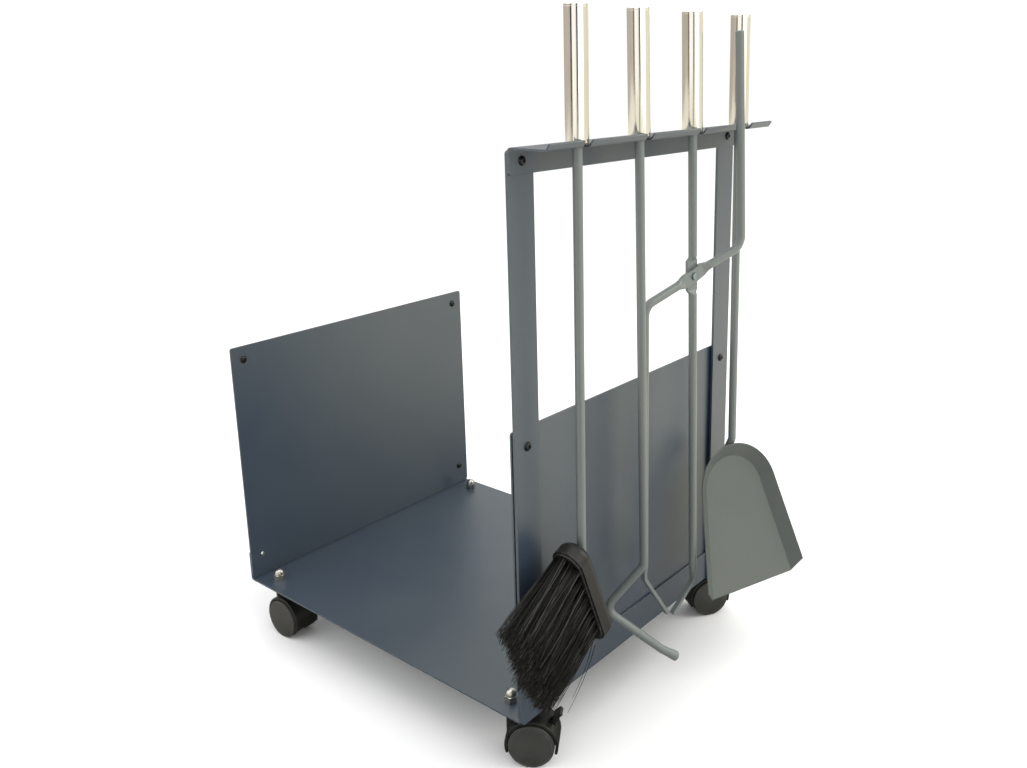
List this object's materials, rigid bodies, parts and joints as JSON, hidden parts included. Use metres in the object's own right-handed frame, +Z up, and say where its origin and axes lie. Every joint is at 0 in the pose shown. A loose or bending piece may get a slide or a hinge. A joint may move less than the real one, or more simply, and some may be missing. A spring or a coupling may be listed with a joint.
{
  "type": "log basket with fireplace tools",
  "caption": "Wheeled sheet-metal log basket, open at the front, back and top, with a slotted rack on two uprights where a hearth brush, poker, tongs and ash shovel hang.",
  "frame": {"origin": "on the floor under the middle of the object's overall footprint", "axes": "+X to the right towards the tools, +Y from the open front to the open back, +Z up"},
  "size_m": [0.6049, 0.4817, 0.7775],
  "materials": {
    "frame_paint": "satin anthracite powder coat",
    "tool_paint": "satin grey powder coat",
    "handle_steel": "bright satin stainless steel, drawn lengthwise",
    "handle_plug": "black plug",
    "brush_block": "black brush block",
    "bristle": "black bristle",
    "caster_housing": "moulded black plastic",
    "caster_lever": "moulded black plastic",
    "caster_wheel": "moulded dark grey plastic",
    "black_screw": "black button-head screw",
    "bright_nut": "bright dome nut",
    "zinc": "bright zinc plate"
  },
  "bodies": {
    "frame": {"base_tray": "frame_paint", "left_panel": "frame_paint", "right_panel": "frame_paint", "front_upright": "frame_paint", "rear_upright": "frame_paint", "upright_spacers": "zinc", "tool_rack": "frame_paint", "left_panel_screws": "black_screw", "left_panel_nuts": "zinc", "right_side_screws": "black_screw", "right_side_nuts": "zinc", "rack_screws": "black_screw", "rack_nuts": "zinc", "caster_stems": "zinc", "stem_dome_nuts": "bright_nut"},
    "front_left_caster": {"front_left_hood": "caster_housing", "front_left_axle": "zinc"},
    "front_left_outer_wheel": {"front_left_wheel_outer": "caster_wheel"},
    "front_left_inner_wheel": {"front_left_wheel_inner": "caster_wheel"},
    "front_right_caster": {"front_right_hood": "caster_housing", "front_right_axle": "zinc"},
    "front_right_outer_wheel": {"front_right_wheel_outer": "caster_wheel"},
    "front_right_inner_wheel": {"front_right_wheel_inner": "caster_wheel"},
    "brake_lever": {"front_right_brake_lever": "caster_lever"},
    "rear_left_caster": {"rear_left_hood": "caster_housing", "rear_left_axle": "zinc"},
    "rear_left_outer_wheel": {"rear_left_wheel_outer": "caster_wheel"},
    "rear_left_inner_wheel": {"rear_left_wheel_inner": "caster_wheel"},
    "rear_right_caster": {"rear_right_hood": "caster_housing", "rear_right_axle": "zinc"},
    "rear_right_outer_wheel": {"rear_right_wheel_outer": "caster_wheel"},
    "rear_right_inner_wheel": {"rear_right_wheel_inner": "caster_wheel"},
    "brush": {"brush_handle": "handle_steel", "brush_cap": "handle_steel", "brush_plug": "handle_plug", "brush_shaft": "tool_paint", "brush_head": "brush_block", "brush_bristles": "bristle"},
    "poker": {"poker_handle": "handle_steel", "poker_cap": "handle_steel", "poker_plug": "handle_plug", "poker_shaft": "tool_paint"},
    "tongs": {"tongs_handle": "handle_steel", "tongs_cap": "handle_steel", "tongs_plug": "handle_plug", "tongs_fixed_arm": "tool_paint", "tongs_rivet": "zinc"},
    "shovel": {"shovel_handle": "handle_steel", "shovel_cap": "handle_steel", "shovel_plug": "handle_plug", "shovel_shaft": "tool_paint", "shovel_pan": "tool_paint"},
    "tongs_arm": {"tongs_moving_arm": "tool_paint"}
  },
  "joints": [
    {"name": "front_left_swivel", "type": "hinge", "parent": "frame", "child": "front_left_caster", "pos_m": [-0.265, -0.169, 0.045], "axis": [0, 0, 1], "continuous": true},
    {"name": "front_left_outer_spin", "type": "hinge", "parent": "front_left_caster", "child": "front_left_outer_wheel", "pos_m": [-0.24252, -0.16802, 0.025], "axis": [0.0436, -0.999, 0], "continuous": true},
    {"name": "front_left_inner_spin", "type": "hinge", "parent": "front_left_caster", "child": "front_left_inner_wheel", "pos_m": [-0.24252, -0.16802, 0.025], "axis": [0.0436, -0.999, 0], "continuous": true},
    {"name": "front_right_swivel", "type": "hinge", "parent": "frame", "child": "front_right_caster", "pos_m": [0.15, -0.169, 0.045], "axis": [0, 0, 1], "continuous": true},
    {"name": "front_right_outer_spin", "type": "hinge", "parent": "front_right_caster", "child": "front_right_outer_wheel", "pos_m": [0.16865, -0.15642, 0.025], "axis": [0.5592, -0.829, 0], "continuous": true},
    {"name": "front_right_inner_spin", "type": "hinge", "parent": "front_right_caster", "child": "front_right_inner_wheel", "pos_m": [0.16865, -0.15642, 0.025], "axis": [0.5592, -0.829, 0], "continuous": true},
    {"name": "brake_lever_tip", "type": "hinge", "parent": "front_right_caster", "child": "brake_lever", "pos_m": [0.18078, -0.14824, 0.03864], "axis": [-0.5592, 0.829, 0], "range_deg": [0, 15]},
    {"name": "rear_left_swivel", "type": "hinge", "parent": "frame", "child": "rear_left_caster", "pos_m": [-0.265, 0.189, 0.045], "axis": [0, 0, 1], "continuous": true},
    {"name": "rear_left_outer_spin", "type": "hinge", "parent": "rear_left_caster", "child": "rear_left_outer_wheel", "pos_m": [-0.24776, 0.20346, 0.025], "axis": [0.6428, -0.766, 0], "continuous": true},
    {"name": "rear_left_inner_spin", "type": "hinge", "parent": "rear_left_caster", "child": "rear_left_inner_wheel", "pos_m": [-0.24776, 0.20346, 0.025], "axis": [0.6428, -0.766, 0], "continuous": true},
    {"name": "rear_right_swivel", "type": "hinge", "parent": "frame", "child": "rear_right_caster", "pos_m": [0.15, 0.189, 0.045], "axis": [0, 0, 1], "continuous": true},
    {"name": "rear_right_outer_spin", "type": "hinge", "parent": "rear_right_caster", "child": "rear_right_outer_wheel", "pos_m": [0.16258, 0.20765, 0.025], "axis": [0.829, -0.5592, 0], "continuous": true},
    {"name": "rear_right_inner_spin", "type": "hinge", "parent": "rear_right_caster", "child": "rear_right_inner_wheel", "pos_m": [0.16258, 0.20765, 0.025], "axis": [0.829, -0.5592, 0], "continuous": true},
    {"name": "brush_lift_off", "type": "slide", "parent": "frame", "child": "brush", "axis": [0.4226, 0, 0.9063], "range_m": [0, 0.15]},
    {"name": "poker_lift_off", "type": "slide", "parent": "frame", "child": "poker", "axis": [0.4226, -0.0245, 0.906], "range_m": [0, 0.15]},
    {"name": "tongs_lift_off", "type": "slide", "parent": "frame", "child": "tongs", "axis": [0.4182, -0.0249, 0.908], "range_m": [0, 0.15]},
    {"name": "shovel_lift_off", "type": "slide", "parent": "frame", "child": "shovel", "axis": [0.4226, -0.0158, 0.9062], "range_m": [0, 0.15]},
    {"name": "tongs_pivot", "type": "hinge", "parent": "tongs", "child": "tongs_arm", "pos_m": [0.2216, 0.06321, 0.49933], "axis": [-0.9848, 0.1736, 0], "range_deg": [-1.4, 3.3]}
  ]
}
